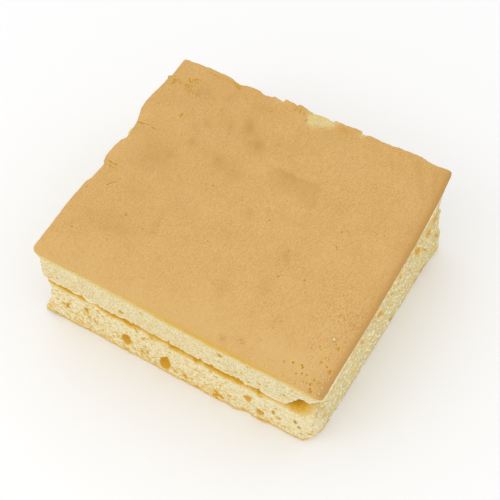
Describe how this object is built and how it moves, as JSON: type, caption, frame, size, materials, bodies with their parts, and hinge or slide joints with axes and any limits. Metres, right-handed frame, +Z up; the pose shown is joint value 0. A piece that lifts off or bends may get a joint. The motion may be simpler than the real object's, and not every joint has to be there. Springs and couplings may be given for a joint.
{
  "type": "trifle sponge",
  "caption": "Hand-cut block of plain sponge cake in stacked layers, with a browned skin on top and open pale crumb at the cut sides.",
  "frame": {"origin": "on the base, under the middle of the block's box", "axes": "+Z up out of the browned top, +X to the right along the front edge, -Y towards the front"},
  "size_m": [0.1648, 0.1454, 0.064],
  "materials": {
    "browned_skin": "thin matt baked skin, tan brown, finely wrinkled, over pale crumb",
    "sponge_crumb": "matt open sponge crumb, pale yellow, with pores that darken to gold"
  },
  "bodies": {
    "root": {"upper_sponge": "browned_skin", "lower_sponge": "sponge_crumb"}
  },
  "joints": []
}
